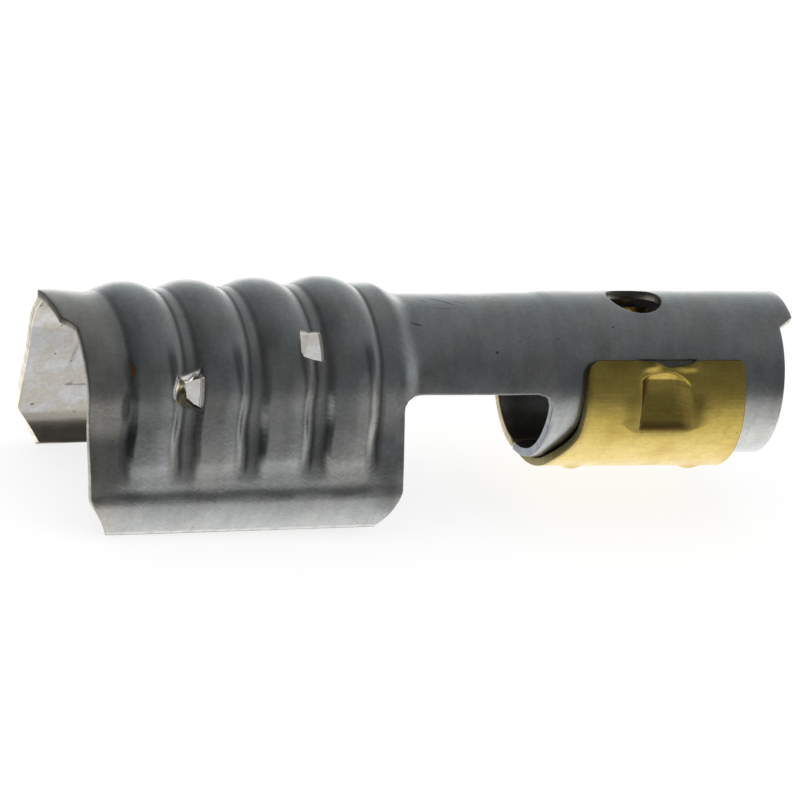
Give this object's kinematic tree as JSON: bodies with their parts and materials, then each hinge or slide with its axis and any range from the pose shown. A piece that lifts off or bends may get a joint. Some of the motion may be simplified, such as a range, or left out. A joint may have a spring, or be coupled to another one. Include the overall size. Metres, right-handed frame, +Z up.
{
  "type": "spark plug terminal",
  "caption": "Rolled steel terminal: a socket with a brass spring clip snaps on a spark plug's nut, and a ribbed open barrel is crimped round the ignition cable.",
  "frame": {"origin": "centre of the socket's mouth, on the socket's axis", "axes": "+X along the socket and out of its mouth, +Z up, away from the crimp barrel's opening"},
  "size_m": [0.0355, 0.01, 0.0101],
  "materials": {
    "plated_steel": "satin plated sheet with fine scratches",
    "brass": "satin brass strip with light tarnish"
  },
  "bodies": {
    "root": {"terminal_body": "plated_steel", "contact_clip": "brass"}
  },
  "joints": []
}
